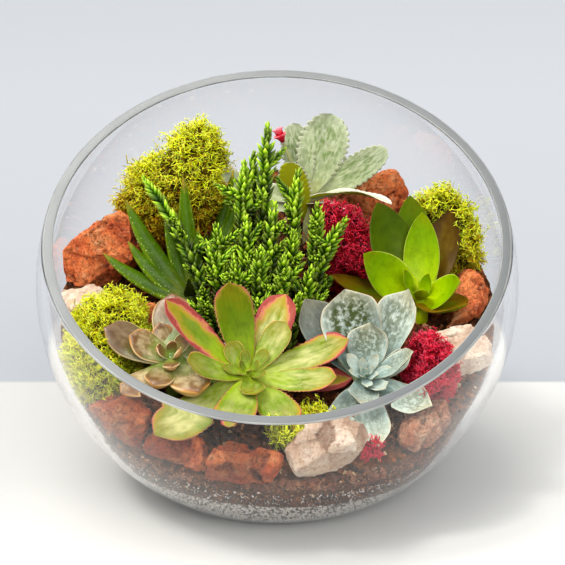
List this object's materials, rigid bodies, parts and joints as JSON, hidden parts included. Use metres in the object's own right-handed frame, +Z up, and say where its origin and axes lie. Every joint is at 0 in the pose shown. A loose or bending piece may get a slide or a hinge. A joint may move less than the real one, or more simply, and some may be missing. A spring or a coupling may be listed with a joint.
{
  "type": "succulent dish garden",
  "caption": "Slant-cut round glass bowl planted with succulents, moss, stones and soil over a bed of gravel.",
  "frame": {"origin": "middle of the bowl's flat foot, on the surface it stands on", "axes": "+Z up; the slanting rim is lowest towards -Y, which is the front, and highest towards +Y; +X is to the right seen from the front"},
  "size_m": [0.2028, 0.2005, 0.1648],
  "materials": {
    "glass": "clear polished glass",
    "gravel": "fine grey and white drainage grit",
    "soil": "loose dark potting soil",
    "red_stone": "rough rust-red volcanic rock",
    "pale_stone": "rough pinkish beige sandstone",
    "green_moss": "springy chartreuse preserved moss",
    "red_moss": "springy crimson preserved moss",
    "aeonium": "satin green leaf with pink toothed edges",
    "echeveria": "powdery blue-grey leaf",
    "green_rosette": "satin bright green leaf with a pale edge",
    "ghost_plant": "waxy grey-brown leaf with an amber edge",
    "haworthia": "dark green leaf with fine white tubercles",
    "kalanchoe": "downy silver-green leaf with scalloped edges",
    "flower": "crimson petals",
    "crassula": "bright green scale leaves"
  },
  "bodies": {
    "root": {"glass_bowl": "glass", "drainage_gravel": "gravel", "potting_soil": "soil", "aeonium": "aeonium", "echeveria": "echeveria", "green_rosette": "green_rosette", "ghost_plant": "ghost_plant", "haworthia": "haworthia", "haworthia_back": "haworthia", "kalanchoe": "kalanchoe", "kalanchoe_flower": "flower", "crassula_stem_01": "crassula", "crassula_stem_02": "crassula", "crassula_stem_03": "crassula", "crassula_stem_04": "crassula", "crassula_stem_05": "crassula", "crassula_stem_06": "crassula", "crassula_stem_07": "crassula", "crassula_stem_08": "crassula", "crassula_stem_09": "crassula", "crassula_stem_10": "crassula", "crassula_stem_11": "crassula", "crassula_stem_12": "crassula", "crassula_stem_13": "crassula", "crassula_stem_14": "crassula", "crassula_stem_15": "crassula", "crassula_stem_16": "crassula", "crassula_stem_17": "crassula", "crassula_stem_18": "crassula", "crassula_stem_19": "crassula", "crassula_stem_20": "crassula", "red_stone_back_left": "red_stone", "red_stone_back_right": "red_stone", "red_stone_right": "red_stone", "red_stone_front": "red_stone", "red_stone_front_left": "red_stone", "red_stone_left": "red_stone", "red_stone_front_right": "red_stone", "red_stone_small": "red_stone", "pale_stone_left": "pale_stone", "pale_stone_right": "pale_stone", "pale_stone_front": "pale_stone", "pale_stone_middle": "pale_stone", "moss_back_left": "green_moss", "moss_left": "green_moss", "moss_right": "green_moss", "moss_front": "green_moss", "red_moss_middle": "red_moss", "red_moss_right": "red_moss", "red_moss_front": "red_moss"}
  },
  "joints": []
}
